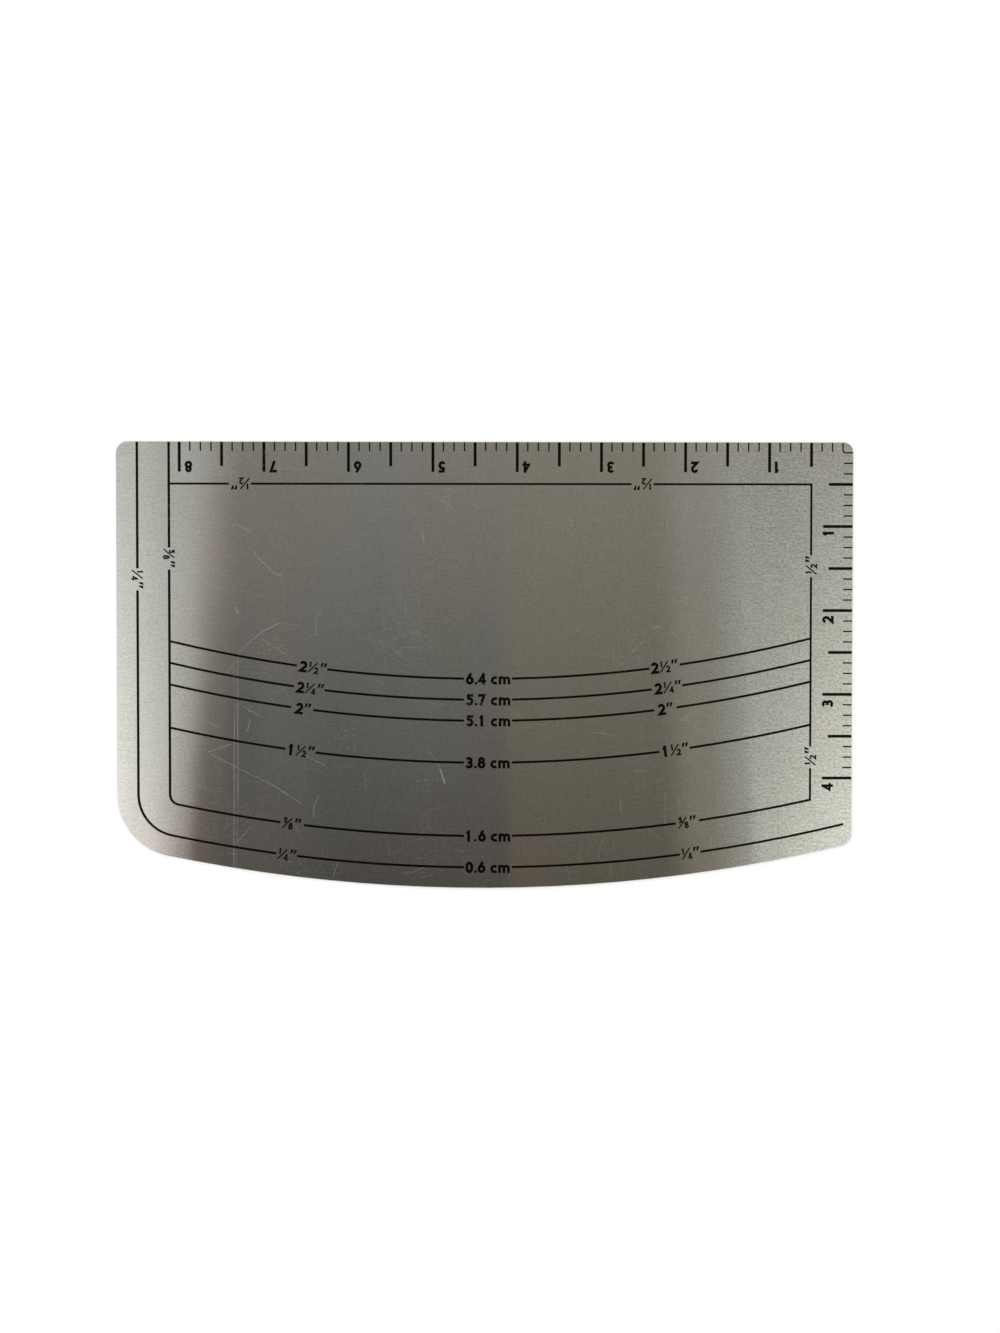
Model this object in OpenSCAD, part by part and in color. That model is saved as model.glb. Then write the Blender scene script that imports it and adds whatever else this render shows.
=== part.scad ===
// Sewing gauge: a flat sheet-metal plate for measuring and pressing hems, with inch scales along
// two straight edges and printed lines that follow its curved edge. The plate lies on the XY
// plane with its printed face up. The long scale runs along the back edge (+Y), the short scale
// along the right edge (+X), and the curved hem edge is at the front. Both scales start at the
// back right corner. Sizes are in millimetres.

/* [Plate] */
// Length of the plate, along the long scale
plate_length = 222.25; // [200:0.05:254]
// Depth of the plate, from the back edge to the lowest point of the curved edge
plate_depth = 134.95; // [120:0.05:160]
// Radius of the curved hem edge
hem_edge_radius = 466.7; // [400:0.1:760]
// Thickness of the sheet
sheet_thickness = 0.8; // [0.5:0.05:1.6]
// Width of the broken edge round both faces
edge_break = 0.15; // [0.05:0.05:0.2]

/* [Corners] */
// Radius of the back left corner
back_left_radius = 3.6; // [1:0.1:6]
// Radius of the back right corner, where both scales start
back_right_radius = 3; // [1:0.1:6]
// Radius of the front right corner, at the end of the curved edge
front_right_radius = 4; // [1:0.1:8]
// Radius of the large front left corner, which the two seam lines follow
front_left_radius = 19.05; // [17.5:0.05:30]

/* [Scales] */
// Length of the marks at whole inches
inch_mark_length = 9.1; // [8:0.1:11]
// Length of the marks at half inches
half_inch_mark_length = 7.4; // [5:0.1:7.9]
// Length of the marks at the other eighths
eighth_mark_length = 2.9; // [2:0.1:3]
// Width of the inch and half inch marks
bold_mark_width = 0.88; // [0.52:0.02:1]
// Width of the eighth marks
fine_mark_width = 0.42; // [0.2:0.02:0.5]
// Radius of the bend that joins the first marks of the two scales
corner_mark_bend = 0.7; // [0.4:0.1:2]

/* [Seam lines] */
// Distance of the inner seam line from the left edge and the curved edge
five_eighths_allowance = 15.875; // [14:0.125:17]
// Distance of the outer seam line from the left edge and the curved edge
quarter_allowance = 6.35; // [5:0.05:9]
// Width of the seam lines along the left edge
seam_side_width = 0.76; // [0.3:0.02:1]
// Width of every line that follows the curved edge
curve_line_width = 0.68; // [0.3:0.02:1]
// Distance from the outer seam line's end to the right edge
quarter_line_end_margin = 2.5; // [1:0.1:6]

/* [Hem lines] */
// Hem depth of the first line above the curved edge
hem_depth_1_5_in = 38.1; // [30:0.1:45]
// Hem depth of the second line
hem_depth_2_in = 50.8; // [48:0.1:53]
// Hem depth of the third line
hem_depth_2_25_in = 57.15; // [55:0.05:59]
// Hem depth of the fourth line
hem_depth_2_5_in = 63.5; // [61:0.1:70]

/* [Frame lines] */
// Distance of the long frame line from the back edge
long_frame_inset = 12.7; // [12:0.1:16]
// Distance of the short frame line from the right edge
short_frame_inset = 12.7; // [12:0.1:16]
// Width of the long frame line
long_frame_width = 0.62; // [0.3:0.02:1]
// Width of the short frame line
short_frame_width = 0.64; // [0.3:0.02:1]

/* [Label gaps] */
// Gap for a half inch label, and for the labels on the seam lines' straight stretches
straight_line_gap = 6.6; // [5:0.1:9]
// Gap for a quarter inch label on the curved stretch
quarter_gap = 6.3; // [5:0.1:9]
// Gap for a five eighths label on the curved stretch
five_eighths_gap = 7.1; // [5:0.1:9]
// Gap for a whole number label
whole_number_gap = 6.7; // [5:0.1:9]
// Gap for a mixed number label
mixed_number_gap = 9.2; // [7:0.1:12]
// Gap for a label in centimetres
metric_gap = 14.5; // [12:0.1:18]

/* [Label places] */
// Left end of the hem lines' left labels, along the curved edge from its middle
hem_left_label = -66.1; // [-75:0.1:-50]
// Left end of the seam lines' left labels
seam_left_label = -64.4; // [-75:0.1:-50]
// Middle of the centimetre labels, from the middle of the plate
metric_label = 0.7; // [-8:0.1:8]
// Left end of the hem lines' right labels
hem_right_label = 57.5; // [40:0.1:65]
// Left end of the seam lines' right labels
seam_right_label = 59.9; // [40:0.1:70]
// Middle of the inner seam line's side label, from the back edge
five_eighths_side_label = 35.2; // [20:0.1:50]
// Middle of the outer seam line's side label, from the back edge
quarter_side_label = 41.5; // [20:0.1:60]
// Middle of the long frame line's left label, from the left edge
long_frame_left_label = 37.2; // [25:0.1:60]
// Middle of the long frame line's right label, from the right edge
long_frame_right_label = 63.8; // [25:0.1:80]
// Middle of the short frame line's back label, from the back edge
short_frame_back_label = 37.4; // [20:0.1:45]
// Middle of the short frame line's front label, above the inner seam line
short_frame_front_label = 12.9; // [8:0.1:30]

/* [Print] */
// Thickness of the printed ink
print_thickness = 0.04; // [0.02:0.01:0.1]

/* [Hidden] */

// Fine enough for the long radius of the curved edge
$fn = 360;
inch = 25.4;
marks_per_inch = 8;
// How far cutting shapes reach past what they cut
over = 1;
// A corner's circle reaches this far past the edges that it joins, so they meet with no step
blend = 0.001;
plate_colour = "silver";
print_colour = "#1d1b18";

left_x = -plate_length / 2;
right_x = plate_length / 2;
back_y = plate_depth / 2;
front_y = -plate_depth / 2;
curve_centre = [0, front_y + hem_edge_radius];

// The curved edge, moved inwards by inset, has this y at the place x
function curve_y(x, inset = 0) =
    curve_centre.y - sqrt(pow(hem_edge_radius - inset, 2) - x * x);

// Unit vector from the centre of the curved edge towards a point
function from_curve_centre(point) = (point - curve_centre) / norm(point - curve_centre);

// A rounded corner is its circle's centre and radius, and the outward directions of the two
// edges that the circle joins. Side is -1 for the left edge and 1 for the right edge.
function back_corner(side, radius) = [
    [side * (plate_length / 2 - radius), back_y - radius],
    radius,
    [side, 0],
    [0, 1]
];

function curve_corner(side, side_inset, curve_inset, radius) =
    let (x = side * (plate_length / 2 - side_inset - radius))
    let (centre = [x, curve_y(x, curve_inset + radius)])
    [centre, radius, [side, 0], from_curve_centre(centre)];

plate_corners = [
    back_corner(-1, back_left_radius),
    back_corner(1, back_right_radius),
    curve_corner(-1, 0, 0, front_left_radius),
    curve_corner(1, 0, 0, front_right_radius)
];

// The inner seam line ends on the short frame line, at its lower end
short_frame_x = right_x - short_frame_inset;
short_frame_end_y = curve_y(short_frame_x, five_eighths_allowance);

// Whole inches that fit beside the inner seam line, and above the short frame line's end
long_scale_inches = floor((plate_length - five_eighths_allowance) / inch);
short_scale_inches = floor((back_y - short_frame_end_y) / inch);

// Lines that cross the printed panel run between the inner seam line and the short frame line
panel_left_x = left_x + five_eighths_allowance + seam_side_width / 2;
panel_right_x = short_frame_x - short_frame_width / 2;

// Quarter of plate round a corner's centre, as far out as the corner itself and beyond
module corner_patch(corner) {
    reach = 2 * corner[1];
    polygon([
        corner[0],
        corner[0] + reach * corner[2],
        corner[0] + reach * (corner[2] + corner[3]),
        corner[0] + reach * corner[3]
    ]);
}

// What rounding takes off an outline that is moved in by inset
module corner_trim(corner, inset = 0) {
    difference() {
        corner_patch(corner);
        translate(corner[0]) circle(corner[1] + blend - inset);
    }
}

// Section of the sheet up to its edge, with the edge broken on both faces
module edge_section(outer) {
    polygon([
        [0, 0],
        [outer - edge_break, 0],
        [outer, edge_break],
        [outer, sheet_thickness - edge_break],
        [outer - edge_break, sheet_thickness],
        [0, sheet_thickness]
    ]);
}

module round_sheet(radius) {
    rotate_extrude() edge_section(radius);
}

// Sheet from the far side of the plate up to one straight edge, which faces the given direction
module sheet_to_edge(direction, distance) {
    far = 2 * plate_length;
    rotate(direction) translate([distance - far, 0, 0])
        rotate([90, 0, 0])
            linear_extrude(height = far, center = true)
                edge_section(far);
}

// What rounding takes off the plate, leaving the corner's edge broken like the rest
module plate_corner_trim(corner) {
    difference() {
        translate([0, 0, -over])
            linear_extrude(height = sheet_thickness + 2 * over)
                corner_patch(corner);
        translate(corner[0]) round_sheet(corner[1] + blend);
    }
}

module gauge_plate() {
    color(plate_colour)
        difference() {
            intersection() {
                sheet_to_edge(0, right_x);
                sheet_to_edge(90, back_y);
                sheet_to_edge(180, right_x);
                translate(curve_centre) round_sheet(hem_edge_radius);
            }
            for (corner = plate_corners) {
                plate_corner_trim(corner);
            }
        }
}

// The flat of the printed face, inside its broken edge
module printable_face() {
    difference() {
        intersection() {
            translate([left_x + edge_break, front_y])
                square([plate_length - 2 * edge_break, plate_depth - edge_break]);
            translate(curve_centre) circle(hem_edge_radius - edge_break);
        }
        for (corner = plate_corners) {
            corner_trim(corner, edge_break);
        }
    }
}

// Ink of a flat shape, on the printed face and nowhere past it
module printed() {
    color(print_colour)
        translate([0, 0, sheet_thickness])
            linear_extrude(height = print_thickness)
                intersection() {
                    children();
                    printable_face();
                }
}

// 0 for a whole inch, 1 for a half inch and 2 for the other eighths
function mark_rank(i) =
    i % marks_per_inch == 0 ? 0 : i % marks_per_inch == marks_per_inch / 2 ? 1 : 2;

// Marks of one rank on a scale that runs towards -X from the origin, drawn towards -Y. The
// first mark is left to the corner mark.
module scale_marks(rank, inches, length, width) {
    for (i = [2 : inches * marks_per_inch]) {
        if (mark_rank(i) == rank) {
            translate([-i * inch / marks_per_inch - width / 2, -length])
                square([width, length + over]);
        }
    }
}

module long_scale(rank, length, width) {
    printed()
        translate([right_x, back_y])
            scale_marks(rank, long_scale_inches, length, width);
}

// The short scale is the long one mirrored across the back right corner
module short_scale(rank, length, width) {
    printed()
        translate([right_x, back_y])
            mirror([1, -1, 0])
                scale_marks(rank, short_scale_inches, length, width);
}

module long_scale_inch_marks() {
    long_scale(0, inch_mark_length, bold_mark_width);
}

module long_scale_half_inch_marks() {
    long_scale(1, half_inch_mark_length, bold_mark_width);
}

module long_scale_eighth_marks() {
    long_scale(2, eighth_mark_length, fine_mark_width);
}

module short_scale_inch_marks() {
    short_scale(0, inch_mark_length, bold_mark_width);
}

module short_scale_half_inch_marks() {
    short_scale(1, half_inch_mark_length, bold_mark_width);
}

module short_scale_eighth_marks() {
    short_scale(2, eighth_mark_length, fine_mark_width);
}

// Square of plate at the back right corner, up to size from both edges, with its corner rounded
module scale_corner(size, radius) {
    inner = [right_x - size, back_y - size];
    difference() {
        translate(inner) square(size + over);
        corner_trim([inner + [radius, radius], radius, [-1, 0], [0, -1]]);
    }
}

// The first marks of the two scales are one line, bent where they meet
module scale_corner_mark() {
    first = inch / marks_per_inch;
    half = fine_mark_width / 2;
    printed()
        difference() {
            scale_corner(first + half, corner_mark_bend + half);
            scale_corner(first - half, corner_mark_bend - half);
        }
}

// Everything inside an offset of the left edge and the curved edge, open to the back and right
module inside_seam(side_inset, curve_inset, corner_radius) {
    difference() {
        intersection() {
            translate([left_x + side_inset, front_y])
                square([plate_length, plate_depth + over]);
            translate(curve_centre) circle(hem_edge_radius - curve_inset);
        }
        corner_trim(curve_corner(-1, side_inset, curve_inset, corner_radius));
    }
}

// A seam line runs from the back edge down the left side, round the large corner and along the
// curved edge to end_x. Its corner shares the plate corner's centre.
module seam_line(allowance, end_x) {
    corner_radius = front_left_radius - allowance;
    half_side = seam_side_width / 2;
    half_curve = curve_line_width / 2;
    intersection() {
        difference() {
            inside_seam(allowance - half_side, allowance - half_curve, corner_radius + half_curve);
            inside_seam(allowance + half_side, allowance + half_curve, corner_radius - half_curve);
        }
        translate([left_x, front_y]) square([end_x - left_x, plate_depth]);
    }
}

// Turn round the curved edge's centre to the middle of a gap, whose left end has its place
// measured along the edge from its middle
function gap_turn(line_radius, place, width) =
    (place / hem_edge_radius + width / 2 / line_radius) * 180 / PI;

// Gap in a line that follows the curved edge
module curve_gap(line_radius, turn, width) {
    translate(curve_centre)
        rotate(turn)
            translate([0, -line_radius])
                square([width, 2 * over], center = true);
}

// Gap in a straight line, centred on a point
module straight_gap(x, y) {
    translate([x, y]) square([straight_line_gap, straight_line_gap], center = true);
}

// The centimetre labels stand above each other, and the others fan out with the curved edge
module curve_label_gaps(inset, left_place, right_place, gap) {
    line_radius = hem_edge_radius - inset;
    curve_gap(line_radius, gap_turn(line_radius, left_place, gap), gap);
    curve_gap(line_radius, asin(metric_label / line_radius), metric_gap);
    curve_gap(line_radius, gap_turn(line_radius, right_place, gap), gap);
}

module seam_line_quarter_inch() {
    printed()
        difference() {
            seam_line(quarter_allowance, right_x - quarter_line_end_margin);
            straight_gap(left_x + quarter_allowance, back_y - quarter_side_label);
            curve_label_gaps(quarter_allowance, seam_left_label, seam_right_label, quarter_gap);
        }
}

module seam_line_five_eighths() {
    printed()
        difference() {
            seam_line(five_eighths_allowance, panel_right_x);
            straight_gap(left_x + five_eighths_allowance, back_y - five_eighths_side_label);
            curve_label_gaps(
                five_eighths_allowance, seam_left_label, seam_right_label, five_eighths_gap
            );
        }
}

module frame_line_long_side() {
    line_y = back_y - long_frame_inset;
    line_end_x = short_frame_x + short_frame_width / 2;
    printed()
        difference() {
            translate([panel_left_x, line_y - long_frame_width / 2])
                square([line_end_x - panel_left_x, long_frame_width]);
            straight_gap(left_x + long_frame_left_label, line_y);
            straight_gap(right_x - long_frame_right_label, line_y);
        }
}

// The short frame line hangs from the long one and is cut off along the inner seam line
module frame_line_short_side() {
    line_top_y = back_y - long_frame_inset - long_frame_width / 2;
    printed()
        difference() {
            intersection() {
                translate([panel_right_x, front_y])
                    square([short_frame_width, line_top_y - front_y]);
                translate(curve_centre)
                    circle(hem_edge_radius - five_eighths_allowance + curve_line_width / 2);
            }
            straight_gap(short_frame_x, back_y - short_frame_back_label);
            straight_gap(short_frame_x, short_frame_end_y + short_frame_front_label);
        }
}

// A hem line crosses the printed panel at a constant depth from the curved edge
module hem_line(depth, gap) {
    printed()
        difference() {
            intersection() {
                translate([panel_left_x, front_y])
                    square([panel_right_x - panel_left_x, plate_depth]);
                difference() {
                    translate(curve_centre)
                        circle(hem_edge_radius - depth + curve_line_width / 2);
                    translate(curve_centre)
                        circle(hem_edge_radius - depth - curve_line_width / 2);
                }
            }
            curve_label_gaps(depth, hem_left_label, hem_right_label, gap);
        }
}

module hem_line_1_5_in() {
    hem_line(hem_depth_1_5_in, mixed_number_gap);
}

module hem_line_2_in() {
    hem_line(hem_depth_2_in, whole_number_gap);
}

module hem_line_2_25_in() {
    hem_line(hem_depth_2_25_in, mixed_number_gap);
}

module hem_line_2_5_in() {
    hem_line(hem_depth_2_5_in, mixed_number_gap);
}

gauge_plate();
long_scale_inch_marks();
long_scale_half_inch_marks();
long_scale_eighth_marks();
short_scale_inch_marks();
short_scale_half_inch_marks();
short_scale_eighth_marks();
scale_corner_mark();
seam_line_quarter_inch();
seam_line_five_eighths();
frame_line_long_side();
frame_line_short_side();
hem_line_1_5_in();
hem_line_2_in();
hem_line_2_25_in();
hem_line_2_5_in();
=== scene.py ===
# A flat metal sewing gauge with printed scales, hem lines and seam lines, in its finish.
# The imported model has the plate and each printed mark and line. This script gives them their
# materials, prints the numerals and the labels in the gaps of the lines, and adds the floor, the
# light and the camera. Lengths are millimetres until a mesh is made, and then metres.

import math

import bpy
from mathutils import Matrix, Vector
from mathutils.geometry import delaunay_2d_cdt


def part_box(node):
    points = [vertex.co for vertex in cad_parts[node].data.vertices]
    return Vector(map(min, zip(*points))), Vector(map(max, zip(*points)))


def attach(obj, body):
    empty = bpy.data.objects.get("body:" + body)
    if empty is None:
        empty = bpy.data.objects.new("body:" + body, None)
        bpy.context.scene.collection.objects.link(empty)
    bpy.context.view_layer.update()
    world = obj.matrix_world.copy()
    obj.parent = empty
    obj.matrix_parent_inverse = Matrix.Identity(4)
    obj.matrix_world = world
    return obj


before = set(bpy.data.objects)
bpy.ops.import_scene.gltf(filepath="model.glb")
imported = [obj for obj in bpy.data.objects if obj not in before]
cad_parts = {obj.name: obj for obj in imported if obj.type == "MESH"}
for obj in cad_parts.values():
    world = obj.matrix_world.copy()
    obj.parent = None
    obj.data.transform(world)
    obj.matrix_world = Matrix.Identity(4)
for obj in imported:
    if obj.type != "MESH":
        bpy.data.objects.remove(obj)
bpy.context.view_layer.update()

MM = 0.001
BODY = "root"
UP = Vector((0, 0, 1))

# The camera hangs over the plate and leans a little, as the photograph's own camera did.
CAMERA_PLACE = Vector((-5.28, 16.72, 600))
CAMERA_TURN = (-0.02832, -0.01604, 0.00029)
CAMERA_LENS = 53.586
CAMERA_SENSOR = 36

# Large digits. Bottoms are measured from the middle of the line that a label stands in.
DIGIT_HEIGHT = 3.5
DIGIT_WIDTH = 2.4
DIGIT_BOTTOM = -1.8
DIGIT_STROKE = 0.84
METRIC_DIGIT_STROKE = 0.85
ONE_WIDTH = 1.3
SCALE_DIGIT_WIDTH = 2.3

# From a scale's numeral to its mark, and from its bottom to the outer ends of the marks
NUMERAL_TO_MARK = 1.6
LONG_SCALE_BOTTOM = 5.7
SHORT_SCALE_BOTTOM = 5.6

# Fractions and the inch sign, measured from the left of the fraction
NUMERATOR_BOTTOM = -0.08
NUMERATOR_HEIGHT = 1.8
NUMERATOR_WIDTH = 1.2
NARROW_NUMERATOR = 0.7
SLASH = [(-0.1, -1.65), (2.55, 1.6)]
SLASH_STROKE = 0.39
DENOMINATOR_LEFT = 1.65
DENOMINATOR_BOTTOM = -1.85
DENOMINATOR_WIDTH = 1.35
DENOMINATOR_HEIGHT = 2.05
SMALL_DIGIT_STROKE = 0.48
INCH_SIGN_LEFT = 3.5
INCH_SIGN_BOTTOM = 0.5
INCH_SIGN_HEIGHT = 1.25
INCH_SIGN_WIDTH = 1.98
INCH_SIGN_STEP = 1.02
INCH_SIGN_GAP = 0.35
FRACTION_GAP = 0.45
FRACTION_GAP_AFTER_1 = 0.2

# The centimetre labels
FULL_STOP = 0.84
STOP_LEFT = 2.65
STOP_LEFT_AFTER_1 = 2.4
TENTH_LEFT = 3.7
NARROW_TENTH_LEFT = 3.95
C_LEFT = 7.55
C_WIDTH = 2.35
M_LEFT = 9.95
M_WIDTH = 3.5
METRIC_LABEL_WIDTH = 13.4
LETTER_HEIGHT = 2.5
LETTER_STROKE = 0.8

# How finely glyphs are drawn
ARC_STEP = math.radians(9)
MITRE_LIMIT = 2.4
MERGE = 0.0005

# How far labels are moved past the middle of their gaps, along the line
LABEL_SHIFT = 0.3
METRIC_SHIFT = -0.15
QUARTER_SHIFT = 0.25
SHORT_SIDE_SHIFT = 0.45


class Field:
    """One output of a node. Arithmetic on it adds Math nodes to the same tree."""

    def __init__(self, nodes, socket):
        self.nodes = nodes
        self.socket = socket

    def math(self, operation, first, second):
        return self.nodes.add("Math", {"operation": operation}, {0: first, 1: second})

    def __add__(self, other):
        return self.math("ADD", self, other)

    def __radd__(self, other):
        return self.math("ADD", other, self)

    def __sub__(self, other):
        return self.math("SUBTRACT", self, other)

    def __rsub__(self, other):
        return self.math("SUBTRACT", other, self)

    def __mul__(self, other):
        return self.math("MULTIPLY", self, other)

    def __rmul__(self, other):
        return self.math("MULTIPLY", other, self)

    def __truediv__(self, other):
        return self.math("DIVIDE", self, other)

    def __rtruediv__(self, other):
        return self.math("DIVIDE", other, self)

    def at_least(self, other):
        return self.math("MAXIMUM", self, other)

    def at_most(self, other):
        return self.math("MINIMUM", self, other)


class Nodes:
    """The node tree of a material or of the world, while it is put together."""

    def __init__(self, owner):
        owner.use_nodes = True
        self.tree = owner.node_tree
        self.tree.nodes.clear()

    def add(self, kind, settings=None, inputs=None, output=0):
        """Adds a node, with its settings made first, and gives one of its outputs."""
        node = self.tree.nodes.new("ShaderNode" + kind)
        for name, value in (settings or {}).items():
            setattr(node, name, value)
        for key, value in (inputs or {}).items():
            if isinstance(value, Field):
                self.tree.links.new(value.socket, node.inputs[key])
            else:
                node.inputs[key].default_value = value
        return Field(self, node.outputs[output]) if node.outputs else None

    def place(self):
        """Place on the object, in millimetres."""
        coordinates = self.add("TexCoord", output="Object")
        return self.add("VectorMath", {"operation": "SCALE"}, {0: coordinates, "Scale": 1 / MM})

    def flat_place(self):
        """Place on the object, in millimetres and without its height."""
        return self.add("VectorMath", {"operation": "MULTIPLY"}, {0: self.place(), 1: (1, 1, 0)})

    def distance(self, first, second):
        """How far one place is from another."""
        settings = {"operation": "DISTANCE"}
        return self.add("VectorMath", settings, {0: first, 1: second}, output="Value")

    def part(self, vector, axis):
        """One number of a vector."""
        return self.add("SeparateXYZ", None, {0: vector}, output=axis)

    def noise(self, size, detail=2, seed=0, turn=0):
        """Noise from 0 to 1, whose features are about as large as size, turned by some degrees."""
        settings = {"rotation_type": "Z_AXIS"}
        turned = self.add("VectorRotate", settings, {0: self.place(), "Angle": math.radians(turn)})
        scaled = self.add("VectorMath", {"operation": "DIVIDE"}, {0: turned, 1: size})
        moved = self.add("VectorMath", {"operation": "ADD"}, {0: scaled, 1: (seed, 2 * seed, 0)})
        return self.add("TexNoise", None, {"Vector": moved, "Scale": 1, "Detail": detail})

    def seen_directly(self):
        """1 for what the camera sees, also in a mirror or through glass, and 0 for other light."""
        seen = self.add("LightPath", output="Is Camera Ray")
        seen = seen.at_least(self.add("LightPath", output="Is Glossy Ray"))
        return seen.at_least(self.add("LightPath", output="Is Transmission Ray"))

    def ramp(self, value, start, end, low=0, high=1):
        """A smooth rise from low to high, between start and end."""
        return self.add(
            "MapRange",
            {"interpolation_type": "SMOOTHSTEP"},
            {"Value": value, "From Min": start, "From Max": end, "To Min": low, "To Max": high},
        )

    def blend(self, factor, first, second, clamp=True):
        """A colour between two colours."""
        settings = {"data_type": "RGBA", "clamp_factor": clamp}
        return self.add("Mix", settings, {0: factor, 6: first, 7: second}, output=2)

    def lit(self, colour, factor):
        """A colour made lighter or darker."""
        return self.add("VectorMath", {"operation": "SCALE"}, {0: colour, "Scale": factor})

    def tinted(self, colour, tint):
        """A colour times another."""
        return self.add("VectorMath", {"operation": "MULTIPLY"}, {0: colour, 1: tint})


def new_material(name):
    material = bpy.data.materials.new(name)
    return material, Nodes(material)


# Scratches on the printed face: the width, the depth, and the places it runs through
SCRATCHES = [
    (0.28, 0.12, (-76.0, 1.2), (-75.8, -15.0)),
    (0.32, 0.25, (-75.8, -15.0), (-76.1, -61.5)),
    (0.3, 0.24, (-74.8, 2.5), (-74.8, -41.0)),
    (0.28, 0.14, (-74.8, -41.0), (-75.3, -57.5)),
    (0.26, 0.22, (-75.1, 42.7), (-70.7, 40.2)),
    (0.26, 0.14, (-71.1, 35.9), (-68.6, 32.6)),
    (0.28, 0.22, (-68.6, 32.6), (-66.8, 30.8), (-64.4, 28.4), (-61.7, 27.0)),
    (0.45, 0.26, (-62.2, 27.3), (-61.7, 27.0)),
    (0.34, 0.3, (-75.1, 17.5), (-74.7, 16.0)),
    (0.26, 0.2, (-49.9, 16.5), (-51.1, 13.8), (-51.3, 9.1)),
    (0.26, 0.2, (-74.3, 4.1), (-70.7, 7.5)),
    (0.28, 0.28, (-70.7, 7.5), (-66.7, 10.6), (-62.2, 12.9)),
    (0.26, 0.14, (-62.2, 12.9), (-56.1, 12.3)),
    (0.26, 0.16, (-67.3, 7.8), (-59.8, 3.2)),
    (0.26, 0.2, (-77.9, -2.2), (-77.0, -0.4), (-75.6, 1.1)),
    (0.28, 0.26, (-83.8, -26.1), (-77.0, -23.7)),
    (0.26, 0.2, (-83.0, -26.7), (-70.4, -33.1), (-64.3, -36.1)),
    (0.3, 0.27, (-64.3, -36.1), (-55.8, -41.6)),
    (0.26, 0.18, (-85.2, -16.3), (-80.2, -18.7)),
    (0.26, 0.2, (-72.9, -12.3), (-68.2, -15.2)),
    (0.3, 0.26, (-71.0, -16.4), (-71.9, -19.8)),
    (0.28, 0.22, (-54.8, -27.0), (-48.6, -30.1)),
    (0.26, 0.2, (-17.5, -25.4), (-15.4, -28.2), (-13.7, -31.5)),
    (0.34, 0.5, (-13.7, -31.5), (-12.4, -35.6)),
    (0.28, 0.2, (-50.5, -39.3), (-52.0, -43.0), (-52.0, -46.1)),
    (0.26, 0.14, (-36.6, -32.5), (-36.1, -37.7)),
    (0.26, 0.22, (-44.7, -59.6), (-46.2, -63.9)),
    (0.26, 0.18, (-24.9, -63.0), (-22.2, -62.7), (-17.9, -60.6)),
    (0.24, 0.12, (-18.5, -51.0), (-19.7, -47.3), (-17.9, -44.2), (-12.4, -42.6)),
    (0.26, 0.2, (-75.1, -53.4), (-70.8, -48.5)),
    (0.26, 0.14, (-57.6, -48.2), (-55.5, -52.7)),
    (0.26, 0.2, (40.7, -38.3), (41.0, -44.4)),
    (0.26, 0.16, (54.4, -38.3), (54.4, -48.3)),
    (0.26, 0.16, (32.2, -20.1), (39.2, -21.0)),
    (0.26, 0.2, (44.3, 4.1), (48.2, 7.8)),
    (0.5, 0.2, (51.2, 11.4), (52.4, 12.0)),
    (0.26, 0.2, (34.7, -54.4), (36.2, -52.0)),
    (0.26, 0.2, (68.7, -52.0), (68.1, -55.1)),
    (0.26, 0.2, (35.1, 19.2), (36.7, 16.8)),
    (0.26, 0.2, (82.9, 42.5), (85.6, 42.2)),
]

# Where the plate was knocked most: the middle and the reach of each patch of nicks
KNOCKED = [
    ((-66, 5), 11),
    ((-70.5, -15), 6),
    ((-71, -44), 9),
    ((-42, -21), 9),
    ((-17, -34), 9),
    ((-58, -60), 9),
    ((-22, -60), 9),
    ((48, 8), 8),
]


def scratch(nodes, place, start, end, width):
    """A straight scratch: 1 along its line, and 0 from its width on."""
    start = Vector((*start, 0))
    along = Vector((*end, 0)) - start
    offset = nodes.add("VectorMath", {"operation": "SUBTRACT"}, {0: place, 1: start})
    settings = {"operation": "DOT_PRODUCT"}
    run = nodes.add("VectorMath", settings, {0: offset, 1: along.normalized()}, output="Value")
    nearest = nodes.lit(along.normalized(), run.at_least(0).at_most(along.length))
    return nodes.ramp(nodes.distance(offset, nearest), width, 0)


def scratched(nodes):
    """How deeply the printed face is scratched, from 0 to 1."""
    depth = None
    for width, strength, *path in SCRATCHES:
        for start, end in zip(path, path[1:]):
            line = scratch(nodes, nodes.flat_place(), start, end, width) * strength
            depth = line if depth is None else depth.at_least(line)
    return depth * nodes.ramp(nodes.noise((1.5, 1.5, 1.5), seed=5), 0.25, 0.5, 0.5)


def hairlines(nodes):
    """Fine broken lines from years of sliding over pins and cloth, thickest in a few patches."""
    patches = nodes.ramp(nodes.noise((34, 26, 30), detail=3, seed=8), 0.45, 0.7)
    lines = None
    for turn, seed in ((4, 11), (38, 12), (-27, 13), (83, 14)):
        grooves = nodes.noise((9, 0.24, 0.24), detail=1, seed=seed, turn=turn)
        line = nodes.ramp(grooves, 0.69, 0.78)
        lines = line if lines is None else lines.at_least(line)
    return lines * (0.15 + patches * 0.85)


def flecks(nodes):
    """Small pale nicks, in the patches that were knocked most."""
    patches = nodes.ramp(nodes.noise((26, 20, 24), detail=3, seed=18), 0.55, 0.75) * 0.5
    for middle, reach in KNOCKED:
        distance = nodes.distance(nodes.flat_place(), (*middle, 0))
        patches = patches.at_least(nodes.ramp(distance, reach, reach * 0.2))
    nicks = nodes.noise((1.1, 0.7, 1), detail=3, seed=17, turn=25)
    return nodes.ramp(nicks + patches * 0.08, 0.66, 0.82) * patches


# Two tones of the bare metal, and how strongly each pattern shows in them
WARM_METAL = (0.625, 0.6, 0.555, 1)
COOL_METAL = (0.612, 0.602, 0.568, 1)
MOTTLE, MOTTLE_WITH_SHEEN_AT_ENDS = 0.36, 0.3
BRUSHING, BRUSHING_WITH_SHEEN_AT_ENDS = 0.24, 0.16
DRAG = 0.16

# Depth of the grooves of the brushing
GROOVES = 0.02
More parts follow.
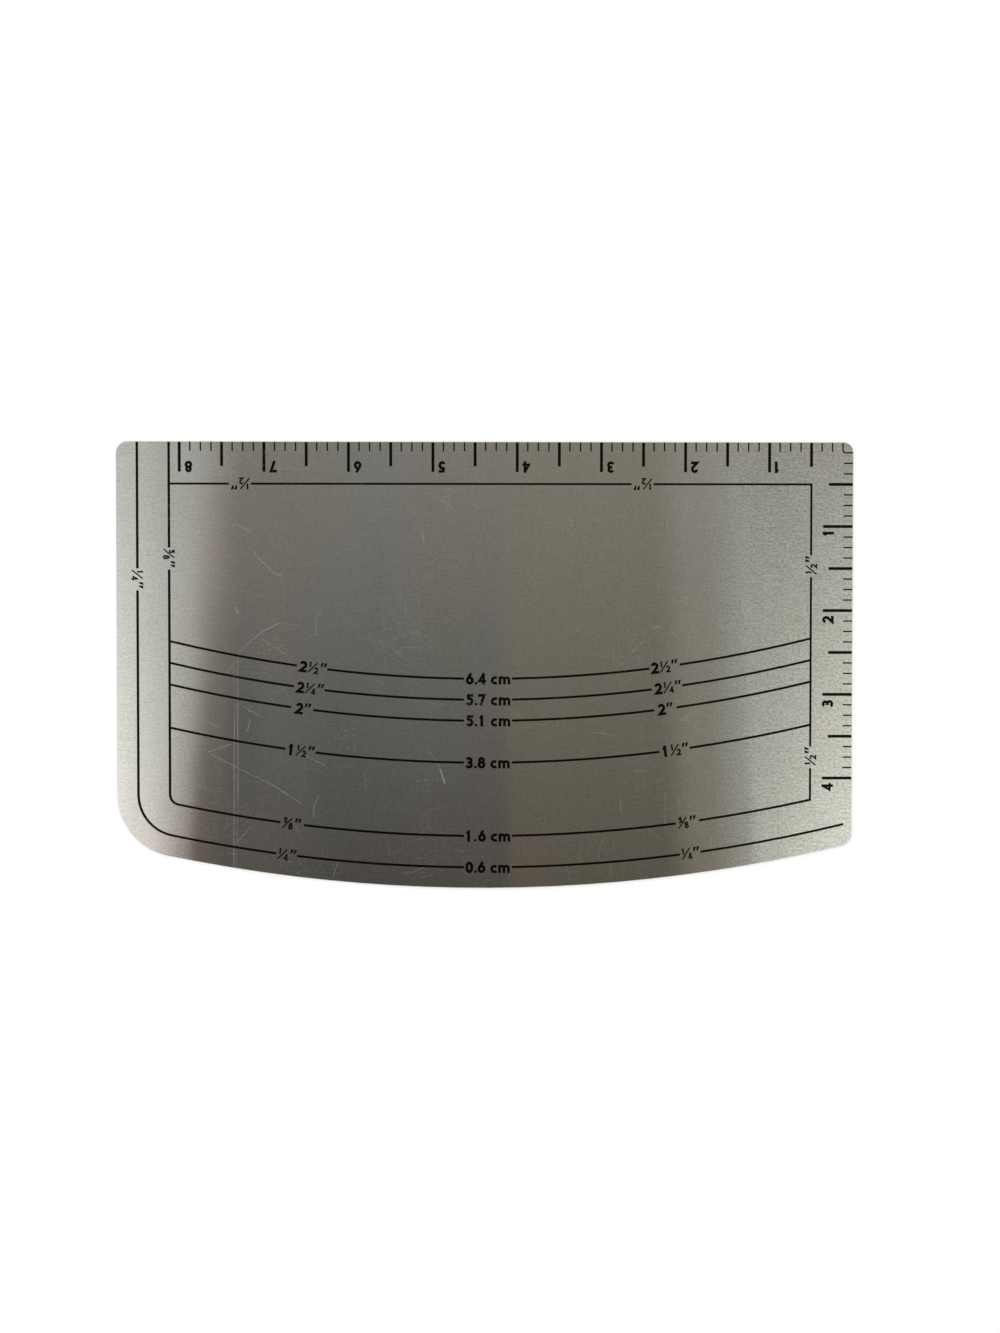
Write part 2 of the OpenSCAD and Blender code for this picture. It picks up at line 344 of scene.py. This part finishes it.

# Where the coarser grain at both ends starts along X, and where it is full. The grain itself is real,
# but its rise at the ends is a painted highlight: it stands for the grain showing more strongly where
# the window's light is mirrored in the metal.
RIGHT_END_SHEEN = (62, 86)
LEFT_END_SHEEN = (-80, -95)


def plate_metal():
    """Aluminium, finely brushed along the long scale and dulled by use."""
    material, nodes = new_material("plate_metal")
    clouds = nodes.noise((60, 38, 60), detail=3, seed=1)
    mottle = nodes.noise((0.85, 0.6, 0.8), detail=1, seed=2) - 0.5
    brushing = nodes.noise((7, 0.26, 0.26), detail=2, seed=3) - 0.5
    drag = nodes.noise((0.5, 5, 5), detail=2, seed=9) - 0.5
    handling = nodes.noise((24, 17, 20), detail=5, seed=4) - 0.5
    across = nodes.part(nodes.place(), "X")
    printed_face = nodes.ramp(nodes.part(nodes.place(), "Z"), 0.3, 0.7)
    # Painted sheen: the grain is made stronger in the base colour at both ends, where the window's
    # light is mirrored
    ends = nodes.ramp(across, *RIGHT_END_SHEEN, 0, 2.2).at_least(nodes.ramp(across, *LEFT_END_SHEEN, 0, 0.4))
    ends = ends * printed_face
    knocks = scratched(nodes).at_least(flecks(nodes) * 0.26) * printed_face
    marks = knocks.at_least(hairlines(nodes) * 0.3)
    tone = nodes.blend(nodes.ramp(clouds, 0.3, 0.7), WARM_METAL, COOL_METAL)
    grain = mottle * (MOTTLE + ends * MOTTLE_WITH_SHEEN_AT_ENDS)
    grain = grain + brushing * (BRUSHING + ends * BRUSHING_WITH_SHEEN_AT_ENDS) + drag * DRAG
    bump = {"Strength": 0.06, "Distance": GROOVES * MM, "Height": mottle * 0.4 + brushing + 0.7}
    surface = nodes.add("BsdfPrincipled", None, {
        "Base Color": nodes.lit(tone, 1 + grain + marks * 0.3),
        "Metallic": 1 - marks * 0.45,
        "Roughness": 0.18 + handling * 0.06 + marks * 0.3,
        "Anisotropic": 0.9,
        "Tangent": nodes.add("Tangent", {"direction_type": "RADIAL", "axis": "X"}),
        "Normal": nodes.add("Bump", None, bump),
    })
    nodes.add("OutputMaterial", None, {"Surface": surface})
    return material


BLACK_INK = (0.002, 0.0014, 0.0006, 1)
RUBBED_INK = (0.12, 0.112, 0.1, 1)


def printed_ink():
    """Black printing ink, thin and slightly glossy, with pinholes where the metal shows."""
    material, nodes = new_material("printed_ink")
    cover = nodes.noise((0.35, 0.35, 0.35), detail=3, seed=6)
    rubbed = nodes.noise((9, 9, 9), detail=2, seed=7)
    worn = nodes.ramp(cover + (rubbed - 0.5) * 0.5, 0.68, 0.82)
    surface = nodes.add("BsdfPrincipled", None, {
        "Base Color": nodes.blend(worn, BLACK_INK, RUBBED_INK),
        "Metallic": worn * 0.5,
        "Roughness": 0.42 + (cover - 0.5) * 0.15,
        "Specular IOR Level": 0.07,
    })
    nodes.add("OutputMaterial", None, {"Surface": surface})
    return material


def dress(node_objects, metal, ink):
    """Gives the plate its metal, and every printed mark and line its ink."""
    for name, node_object in node_objects.items():
        node_object.data.materials.clear()
        node_object.data.materials.append(metal if name == "gauge_plate" else ink)


# A glyph is a list of strokes in a box one unit wide and high. A stroke is its points, and
# whether each of its ends is drawn on by half the stroke's width.


def arc(centre, radius, start, end):
    """Points on an ellipse, between two angles in degrees."""
    start, end = math.radians(start), math.radians(end)
    count = max(2, math.ceil(abs(end - start) / ARC_STEP))
    angles = [start + (end - start) * i / count for i in range(count + 1)]
    return [(centre[0] + radius[0] * math.cos(a), centre[1] + radius[1] * math.sin(a)) for a in angles]


def stroke(*points, start=True, end=True):
    return (points, start, end)


def ring(centre, radius):
    return stroke(*arc(centre, radius, 0, 360), start=False, end=False)


GLYPHS = {
    "0": [ring((0.5, 0.5), (0.5, 0.5))],
    "1": [stroke((1, 0), (1, 1)), stroke((1, 0.95), (-0.3, 0.72), start=False, end=False)],
    "2": [stroke(*arc((0.5, 0.7), (0.46, 0.3), 168, -42), (0.02, 0), (1, 0), start=False)],
    "3": [
        stroke(*arc((0.44, 0.76), (0.42, 0.24), 158, -90), start=False),
        stroke(*arc((0.44, 0.26), (0.5, 0.26), 90, -160), end=False),
    ],
    "4": [
        stroke((0.73, 0), (0.73, 1)),
        stroke((0.8, 0), (0.8, 1)),
        stroke((0.73, 0.98), (0, 0.24), (1.05, 0.24), start=False),
    ],
    "5": [
        stroke((0.92, 1), (0.24, 1), (0.12, 0.56), end=False),
        stroke(*arc((0.46, 0.32), (0.5, 0.32), 133, -152), start=False, end=False),
    ],
    "6": [ring((0.5, 0.32), (0.5, 0.32)), stroke((0.62, 1), (0.06, 0.45), end=False)],
    "7": [stroke((0, 1), (0.92, 1), (0.3, 0))],
    "8": [ring((0.5, 0.77), (0.4, 0.23)), ring((0.5, 0.27), (0.5, 0.27))],
    "c": [stroke(*arc((0.55, 0.5), (0.55, 0.5), 48, 312), start=False, end=False)],
    "m": [
        stroke((0, 0), (0, 1)),
        stroke((0.5, 0), (0.5, 0.62), end=False),
        stroke((1, 0), (1, 0.62), end=False),
        stroke(*arc((0.25, 0.62), (0.25, 0.38), 180, 0), start=False, end=False),
        stroke(*arc((0.75, 0.62), (0.25, 0.38), 180, 0), start=False, end=False),
    ],
}


# A 4 has lighter strokes, which keep its inside open
LIGHTER = {"4": 0.8}


def thickened(points, width, start, end):
    """The quads that a stroke covers, mitred where it bends."""
    line = [Vector(point) for point in points]
    steps = [(b - a).normalized() for a, b in zip(line, line[1:])]
    if start:
        line[0] = line[0] - steps[0] * width / 2
    if end:
        line[-1] = line[-1] + steps[-1] * width / 2
    closed = (line[0] - line[-1]).length < MERGE
    before = [steps[-1] if closed else steps[0]] + steps
    after = steps + [steps[0] if closed else steps[-1]]
    sides = []
    for point, come, go in zip(line, before, after):
        across = (come + go).normalized().orthogonal()
        across = -across if across.dot(come.orthogonal()) < 0 else across
        reach = min(1 / max(across.dot(come.orthogonal()), MERGE), MITRE_LIMIT)
        sides.append((point + across * reach * width / 2, point - across * reach * width / 2))
    return [(a[0], a[1], b[1], b[0]) for a, b in zip(sides, sides[1:])]


def drawn(character, left, bottom, width, height, weight):
    """The patches of a character in a box, and its strokes stay inside the box."""
    patches = []
    weight *= LIGHTER.get(character, 1)
    for points, start, end in GLYPHS[character]:
        run = [
            (left + weight / 2 + x * (width - weight), bottom + weight / 2 + y * (height - weight))
            for x, y in points
        ]
        patches += thickened(run, weight, start, end)
    return patches


def digit(character, left, bottom, width=DIGIT_WIDTH, weight=DIGIT_STROKE):
    """A large digit. A 1 is narrow."""
    width = ONE_WIDTH if character == "1" else width
    return drawn(character, left, bottom, width, DIGIT_HEIGHT, weight), width


def full_stop(left):
    """A round dot, whose last side closes it."""
    radius = FULL_STOP / 2
    return [arc((left + radius, DIGIT_BOTTOM + radius), (radius, radius), 0, 345)]


def inch_sign(left):
    """Two slanted drops, wider at the top, and where they end."""
    bottom = INCH_SIGN_BOTTOM
    top = bottom + INCH_SIGN_HEIGHT
    drops = []
    for x in (left, left + INCH_SIGN_STEP):
        drops.append([(x, bottom), (x + 0.46, bottom), (x + 0.98, top), (x + 0.16, top)])
    return drops, left + INCH_SIGN_WIDTH


def fraction(numerator, denominator, left=0):
    """A small fraction with an inch sign, and where it ends."""
    width = NARROW_NUMERATOR if numerator == "1" else NUMERATOR_WIDTH
    size = (width, NUMERATOR_HEIGHT, SMALL_DIGIT_STROKE)
    patches = drawn(numerator, left, NUMERATOR_BOTTOM, *size)
    patches += thickened([(left + x, y) for x, y in SLASH], SLASH_STROKE, False, False)
    size = (DENOMINATOR_WIDTH, DENOMINATOR_HEIGHT, SMALL_DIGIT_STROKE)
    patches += drawn(denominator, left + DENOMINATOR_LEFT, DENOMINATOR_BOTTOM, *size)
    sign, end = inch_sign(left + INCH_SIGN_LEFT)
    return patches + sign, end


def whole_label(whole):
    """A whole number of inches."""
    patches, width = digit(whole, 0, DIGIT_BOTTOM)
    sign, end = inch_sign(width + INCH_SIGN_GAP)
    return patches + sign, end


def mixed_label(whole, numerator, denominator):
    """A whole number and a fraction, which stands a little nearer to a 1."""
    patches, _ = digit(whole, 0, DIGIT_BOTTOM)
    gap = FRACTION_GAP_AFTER_1 if whole == "1" else FRACTION_GAP
    more, end = fraction(numerator, denominator, DIGIT_WIDTH + gap)
    return patches + more, end


def metric_label(whole, tenth):
    """A length in centimetres. Next to a 1, which is narrow, the rest stands a little nearer."""
    patches, _ = digit(whole, 0, DIGIT_BOTTOM, weight=METRIC_DIGIT_STROKE)
    patches += full_stop(STOP_LEFT_AFTER_1 if whole == "1" else STOP_LEFT)
    left = NARROW_TENTH_LEFT if tenth == "1" else TENTH_LEFT
    patches += digit(tenth, left, DIGIT_BOTTOM, weight=METRIC_DIGIT_STROKE)[0]
    patches += drawn("c", C_LEFT, DIGIT_BOTTOM, C_WIDTH, LETTER_HEIGHT, LETTER_STROKE)
    patches += drawn("m", M_LEFT, DIGIT_BOTTOM, M_WIDTH, LETTER_HEIGHT, LETTER_STROKE)
    return patches, METRIC_LABEL_WIDTH


def film(name, patches, origin, heading, ink):
    """Prints patches, which may overlap, as one film of ink that reads along heading from origin."""
    low, high = (corner.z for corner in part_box("long_scale_inch_marks"))
    across = Vector((-heading.y, heading.x))
    corners = [origin + heading * x + across * y for patch in patches for x, y in patch]
    loops = []
    for patch in patches:
        first = loops[-1][-1] + 1 if loops else 0
        loops.append(list(range(first, first + len(patch))))
    made = delaunay_2d_cdt(corners, [], loops, 1, MERGE, True)
    points, triangles, owners = made[0], made[2], made[5]
    faces = [list(face) for face, owner in zip(triangles, owners) if owner]
    edges = {edge for face in faces for edge in zip(face, face[1:] + face[:1])}
    rim = sorted((a, b) for a, b in edges if (b, a) not in edges)
    count = len(points)
    vertices = [(p.x * MM, p.y * MM, z) for z in (low, high) for p in points]
    solid = [face[::-1] for face in faces]
    solid += [[i + count for i in face] for face in faces]
    solid += [[a, b, b + count, a + count] for a, b in rim]
    mesh = bpy.data.meshes.new(name)
    mesh.from_pydata(vertices, [], solid)
    mesh.materials.append(ink)
    piece = bpy.data.objects.new(name, mesh)
    bpy.context.scene.collection.objects.link(piece)
    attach(piece, BODY)


def islands(node):
    """The separate solids of a CAD node, each as its places in plan, in millimetres."""
    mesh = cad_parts[node].data
    places = [(round(v.co.x / MM, 4), round(v.co.y / MM, 4)) for v in mesh.vertices]
    leader = {place: place for place in places}

    def lead(place):
        while leader[place] != place:
            place = leader[place]
        return place

    for edge in mesh.edges:
        a, b = (lead(places[i]) for i in edge.vertices)
        leader[max(a, b)] = min(a, b)
    groups = {}
    for place in sorted(leader):
        groups.setdefault(lead(place), []).append(Vector(place))
    return list(groups.values())


def middle(points):
    return sum(points, Vector((0, 0))) / len(points)


def in_order(node, heading):
    """A node's islands, one after the other along a heading."""
    return sorted(islands(node), key=lambda points: middle(points).dot(heading))


def end_facing(points, other):
    """The middle of the end that a stretch of line turns to its neighbour."""
    nearest = sorted(points, key=lambda p: min((p - q).length for q in other))
    return middle(nearest[:2])


def line_gaps(node, heading):
    """The gaps of a line, each as its two ends, in the order that a heading meets them."""
    line = in_order(node, heading)
    return [(end_facing(a, b), end_facing(b, a)) for a, b in zip(line, line[1:])]


def print_in_gap(name, gap, label, ink, shift=0):
    """Prints a label in the middle of a gap, with its line of reading from one end to the other."""
    patches, width = label
    start, end = gap
    heading = (end - start).normalized()
    origin = middle([start, end]) + heading * (shift - width / 2)
    film(name, patches, origin, heading, ink)


RIGHT = Vector((1, 0))
LEFT = Vector((-1, 0))
BACK = Vector((0, 1))
FRONT = Vector((0, -1))


def line_labels(node, gaps, inches, centimetres, shifts, ink):
    """The labels in a line's three gaps along the curved edge, with inches at both ends."""
    labels = (("_left_label", inches), ("_metric_label", centimetres), ("_right_label", inches))
    for (suffix, label), gap, shift in zip(labels, gaps, shifts):
        print_in_gap(node + suffix, gap, label, ink, shift)


def hem_labels(ink):
    """Both inch labels and the centimetre label of each hem line."""
    shift = LABEL_SHIFT
    last_shifts = (shift, METRIC_SHIFT, shift)
    lines = {
        "hem_line_2_5_in": (mixed_label("2", "1", "2"), metric_label("6", "4"), (shift, 0, 0)),
        "hem_line_2_25_in": (mixed_label("2", "1", "4"), metric_label("5", "7"), (shift, 0, shift)),
        "hem_line_2_in": (whole_label("2"), metric_label("5", "1"), (shift, 0, 0)),
        "hem_line_1_5_in": (mixed_label("1", "1", "2"), metric_label("3", "8"), last_shifts),
    }
    for node, (inches, centimetres, shifts) in lines.items():
        line_labels(node, line_gaps(node, RIGHT), inches, centimetres, shifts, ink)


def seam_labels(ink):
    """The labels of the two seam lines, one of them on the left side."""
    quarter_shifts = (QUARTER_SHIFT, METRIC_SHIFT, QUARTER_SHIFT)
    lines = {
        "seam_line_five_eighths": (fraction("5", "8"), metric_label("1", "6"), (0, 0, 0)),
        "seam_line_quarter_inch": (fraction("1", "4"), metric_label("0", "6"), quarter_shifts),
    }
    for node, (inches, centimetres, shifts) in lines.items():
        side, *along = line_gaps(node, RIGHT)
        print_in_gap(node + "_side_label", side, inches, ink)
        line_labels(node, along, inches, centimetres, shifts, ink)


def frame_labels(ink):
    """The half inch labels of the two frame lines, read from the back and from the right."""
    half = fraction("1", "2")
    for side, gap in zip(("right", "left"), line_gaps("frame_line_long_side", LEFT)):
        print_in_gap("frame_line_long_side_" + side + "_label", gap, half, ink)
    for side, gap in zip(("front", "back"), line_gaps("frame_line_short_side", BACK)):
        print_in_gap("frame_line_short_side_" + side + "_label", gap, half, ink, SHORT_SIDE_SHIFT)


def scale_numerals(scale, towards, reading, bottom, ink):
    """Numbers a scale's inch marks, each before its mark, its bottom measured from the marks' ends."""
    inward = Vector((-reading.y, reading.x))
    for number, mark in enumerate(in_order(scale + "_inch_marks", towards), 1):
        edge = min(mark, key=lambda p: p.dot(inward))
        origin = middle(mark) + inward * (edge - middle(mark)).dot(inward)
        width = ONE_WIDTH if number == 1 else SCALE_DIGIT_WIDTH
        patches, _ = digit(str(number), -NUMERAL_TO_MARK - width, bottom, SCALE_DIGIT_WIDTH)
        film(scale + "_numeral_" + str(number), patches, origin, reading, ink)


WHITE = (1, 1, 1, 1)
PAPER = (0.88, 0.88, 0.88, 1)


def floor_material():
    """Plain white paper. It looks white from above, keeps a faint shadow, and is clear from below."""
    material, nodes = new_material("white_paper")
    paper = nodes.add("BsdfDiffuse", None, {"Color": PAPER})
    white = nodes.add("Emission", None, {"Color": WHITE, "Strength": 1})
    top = nodes.add("MixShader", None, {0: nodes.seen_directly() * 0.5, 1: paper, 2: white})
    clear = nodes.add("BsdfTransparent", None, {"Color": WHITE})
    below = nodes.add("NewGeometry", output="Backfacing")
    surface = nodes.add("MixShader", None, {0: below, 1: top, 2: clear})
    nodes.add("OutputMaterial", None, {"Surface": surface})
    return material


def flat_square(name, centre, half, material):
    """A level square of the stage, by its centre and half its side."""
    mesh = bpy.data.meshes.new(name)
    half = half * MM
    corners = [(-half, -half, 0), (half, -half, 0), (half, half, 0), (-half, half, 0)]
    mesh.from_pydata(corners, [], [(0, 1, 2, 3)])
    mesh.materials.append(material)
    square = bpy.data.objects.new(name, mesh)
    square.location = Vector(centre) * MM
    bpy.context.scene.collection.objects.link(square)
    return square


def lay_floor():
    flat_square("floor", (0, 0, -0.1), 3000, floor_material())


# The metal mirrors a ceiling over it, dark in the middle and with a window's light on each side.
# It is written as it shows in the plate, so each place is a place on the plate in millimetres.
CEILING_HEIGHT = 50
BACK_ROW = 65
FRONT_ROW = -55

# The plain light of the rest of the room, and how far from the middle it starts and is full
FAR_LIGHT = (0.85, 0.85, 0.85, 1)
FAR = (140, 260)

# Tints of what the room holds, each at a green of 1
DAYLIGHT = (0.975, 1, 0.975)
WINDOW = (0.968, 1, 0.925)
BROWN = (1.065, 1, 0.93)
SHADE = (0.99, 1, 0.965)
CREAM = (1.055, 1, 0.945)
GREENISH = (0.955, 1, 0.955)
SAND = (1.035, 1, 0.93)
PALE = (1, 1, 0.925)
RUST = (1.09, 1, 1)
COLD = (0.98, 1, 0.985)
ROSY = (1.02, 1, 1.015)
WOOD = (1.05, 1, 0.86)
DARK_WOOD = (1.055, 1, 0.81)

# The window left of all cards, on the back row and on the front row
LEFT_WINDOW = ((0.88, 0.9, 0.88, 1), (1.58, 1.62, 1.58, 1))

# The warm light from a sill at the front, where it starts along Y and along X and is full
SILL_ROWS = (-34, -56)
SILL_END = (24, 0)

# Cards from left to right, each over the one before: the place of its left edge on the back row
# and on the front row, how far the edge's blur reaches on both, and its levels and tints on both
CARDS = [
    ((-107, -107), (18, 18), (0.57, 0.82), (DAYLIGHT, DAYLIGHT)),
    ((-79, -94), (15, 8), (0.36, 0.285), (BROWN, CREAM)),
    ((-79, -88.7), (11, 1.8), (0.282, 0.157), (BROWN, BROWN)),
    ((-72, -81.5), (3, 2.2), (0.283, 0.127), (CREAM, GREENISH)),
    ((-52, -52), (7, 7), (0.29, 0.113), (SHADE, GREENISH)),
    ((-22, -26), (5, 6), (0.29, 0.118), (SAND, GREENISH)),
    ((5, 7.2), (7, 2), (0.295, 0.148), (WOOD, DARK_WOOD)),
    ((55, 59.5), (6, 6), (0.37, 0.26), (PALE, DARK_WOOD)),
    ((70, 73), (6, 6), (0.45, 0.42), (WINDOW, WINDOW)),
    ((75, 81), (3, 2), (0.44, 0.63), (WINDOW, WINDOW)),
    ((104, 96), (20, 20), (0.5, 1.12), (WINDOW, WINDOW)),
]

# Faint stains of colour in the ceiling: the middle, the reach along X and along Y, and the tint
STAINS = [
    ((-102, -45), (12, 9), (0.93, 0.93, 0.93)),
    ((-86, -42), (6, 22), (0.955, 0.94, 0.885)),
    ((-78, -34), (5, 24), (1.03, 1, 1.02)),
    ((-73, -15), (6.5, 28), (0.865, 0.875, 0.875)),
    ((-74, 58), (4, 16), (0.93, 0.96, 0.95)),
    ((-64, -50), (11, 16), (1.07, 1, 1.02)),
    ((-68, -59), (10, 8), (1.06, 1.03, 1.02)),
    ((-71, -60), (8, 13), (1.1, 1.1, 1.1)),
    ((-82, 30), (5, 30), (1.03, 1, 1)),
    ((-79, 22), (6, 20), (1.08, 1.08, 1.08)),
    ((-74, 26), (4, 24), (0.965, 1, 0.985)),
    ((-64, 24), (7, 18), (1.03, 1, 1.01)),
    ((-48, 46), (14, 24), (1.035, 1, 0.97)),
    ((-50, -13), (17, 15), (0.95, 0.95, 0.96)),
    ((-45, -35), (11, 15), (0.94, 0.955, 0.96)),
    ((-24, 2), (30, 12), (0.955, 0.99, 0.975)),
    ((-18, -60), (26, 14), (1.06, 1, 1)),
    ((-12, -40), (16, 14), (1.035, 1, 1.01)),
    ((1, -34), (7, 20), (1.08, 1, 1.02)),
    ((0, -62), (10, 11), (1.13, 1.09, 1.08)),
    ((16, -62), (14, 12), (1.1, 1, 1.02)),
    ((68, -6), (5, 26), (0.98, 1.01, 0.99)),
    ((98, 58), (9, 12), (1.07, 1.05, 1.06)),
]


def between(share, pair):
    """A number between its values on the back row and on the front row."""
    back, front = pair
    return back + share * (front - back)


def ceiling_cards(nodes, across, share):
    """The colour of the row of cards, which starts with the window's light."""
    colour = nodes.blend(share, *LEFT_WINDOW, clamp=False)
    for edges, blurs, levels, tints in CARDS:
        edge = between(share, edges)
        blur = between(share, blurs)
        rise = nodes.ramp((across - edge) / blur, -1, 1)
        back, front = ([level * part for part in tint] + [1] for level, tint in zip(levels, tints))
        card = nodes.blend(share, back, front, clamp=False)
        colour = nodes.blend(rise, colour, card)
    return colour


def stained(nodes, colour, across, along):
    """A colour with the ceiling's stains over it."""
    for (x, y), (reach_x, reach_y), tint in STAINS:
        off_x = (across - x) / reach_x
        off_y = (along - y) / reach_y
        spread = nodes.ramp(off_x * off_x + off_y * off_y, 1, 0)
        colour = nodes.tinted(colour, nodes.blend(spread, WHITE, (*tint, 1)))
    return colour


def ceiling_material():
    """What the metal mirrors: the cards and their stains, and further out the plain room."""
    material, nodes = new_material("ceiling_light")
    place = nodes.place()
    along = nodes.part(place, "Y") + CAMERA_PLACE.y
    wavering = nodes.noise((30, 14, 30), detail=3, seed=21) - 0.5
    across = nodes.part(place, "X") + CAMERA_PLACE.x + wavering * 3
    share = ((BACK_ROW - along) / (BACK_ROW - FRONT_ROW)).at_least(-0.4).at_most(1.5)
    bands = nodes.noise((5, 160, 160), detail=2, seed=22) - 0.5
    near = nodes.lit(ceiling_cards(nodes, across, share), 1 + bands * 0.1)
    near = stained(nodes, near, across, along)
    patches = nodes.ramp(nodes.noise((15, 20, 20), detail=2, seed=23), 0.35, 0.65)
    near = nodes.tinted(near, nodes.blend(patches, (*COLD, 1), (*ROSY, 1)))
    sill = nodes.ramp(along, *SILL_ROWS) * nodes.ramp(across, *SILL_END)
    near = nodes.tinted(near, nodes.blend(sill, WHITE, (*RUST, 1)))
    distance = nodes.add("VectorMath", {"operation": "LENGTH"}, {0: place}, output="Value")
    colour = nodes.blend(nodes.ramp(distance, *FAR), near, FAR_LIGHT)
    surface = nodes.add("Emission", None, {"Color": colour, "Strength": 1})
    nodes.add("OutputMaterial", None, {"Surface": surface})
    return material


def hang_ceiling():
    """A card over the plate that lights nothing and shows in its metal alone."""
    centre = (CAMERA_PLACE.x, CAMERA_PLACE.y, CEILING_HEIGHT)
    ceiling = flat_square("ceiling", centre, 450, ceiling_material())
    ceiling.scale = Vector((1, 1, 1)) * (1 + CEILING_HEIGHT / CAMERA_PLACE.z)
    ceiling.visible_camera = False
    ceiling.visible_diffuse = False
    ceiling.visible_transmission = False
    ceiling.visible_volume_scatter = False
    ceiling.visible_shadow = False


def light_world():
    """White all round."""
    world = bpy.data.worlds.new("studio")
    bpy.context.scene.world = world
    nodes = Nodes(world)
    surface = nodes.add("Background", None, {"Color": WHITE, "Strength": 1})
    nodes.add("OutputWorld", None, {"Surface": surface})


LAMP_PLACE = Vector((-350, 450, 900))
LAMP_SIZE = 600
LAMP_WATTS = 3


def hang_lamp():
    """A large soft lamp over the back left, which the metal doesn't mirror."""
    lamp = bpy.data.lights.new("soft_lamp", "AREA")
    lamp.size = LAMP_SIZE * MM
    lamp.energy = LAMP_WATTS
    holder = bpy.data.objects.new("soft_lamp", lamp)
    holder.location = LAMP_PLACE * MM
    holder.rotation_euler = (-holder.location).to_track_quat("-Z", "Y").to_euler()
    holder.visible_glossy = False
    bpy.context.scene.collection.objects.link(holder)


def set_camera():
    camera = bpy.data.cameras.new("camera")
    camera.lens = CAMERA_LENS
    camera.sensor_width = CAMERA_SENSOR
    camera.clip_start = 0.01
    holder = bpy.data.objects.new("camera", camera)
    holder.location = CAMERA_PLACE * MM
    holder.rotation_euler = CAMERA_TURN
    bpy.context.scene.collection.objects.link(holder)
    bpy.context.scene.camera = holder


metal = plate_metal()
ink = printed_ink()
dress(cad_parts, metal, ink)
hem_labels(ink)
seam_labels(ink)
frame_labels(ink)
scale_numerals("long_scale", LEFT, LEFT, LONG_SCALE_BOTTOM, ink)
scale_numerals("short_scale", FRONT, BACK, SHORT_SCALE_BOTTOM, ink)
lay_floor()
hang_ceiling()
light_world()
hang_lamp()
set_camera()
bpy.context.scene.view_settings.view_transform = "Standard"
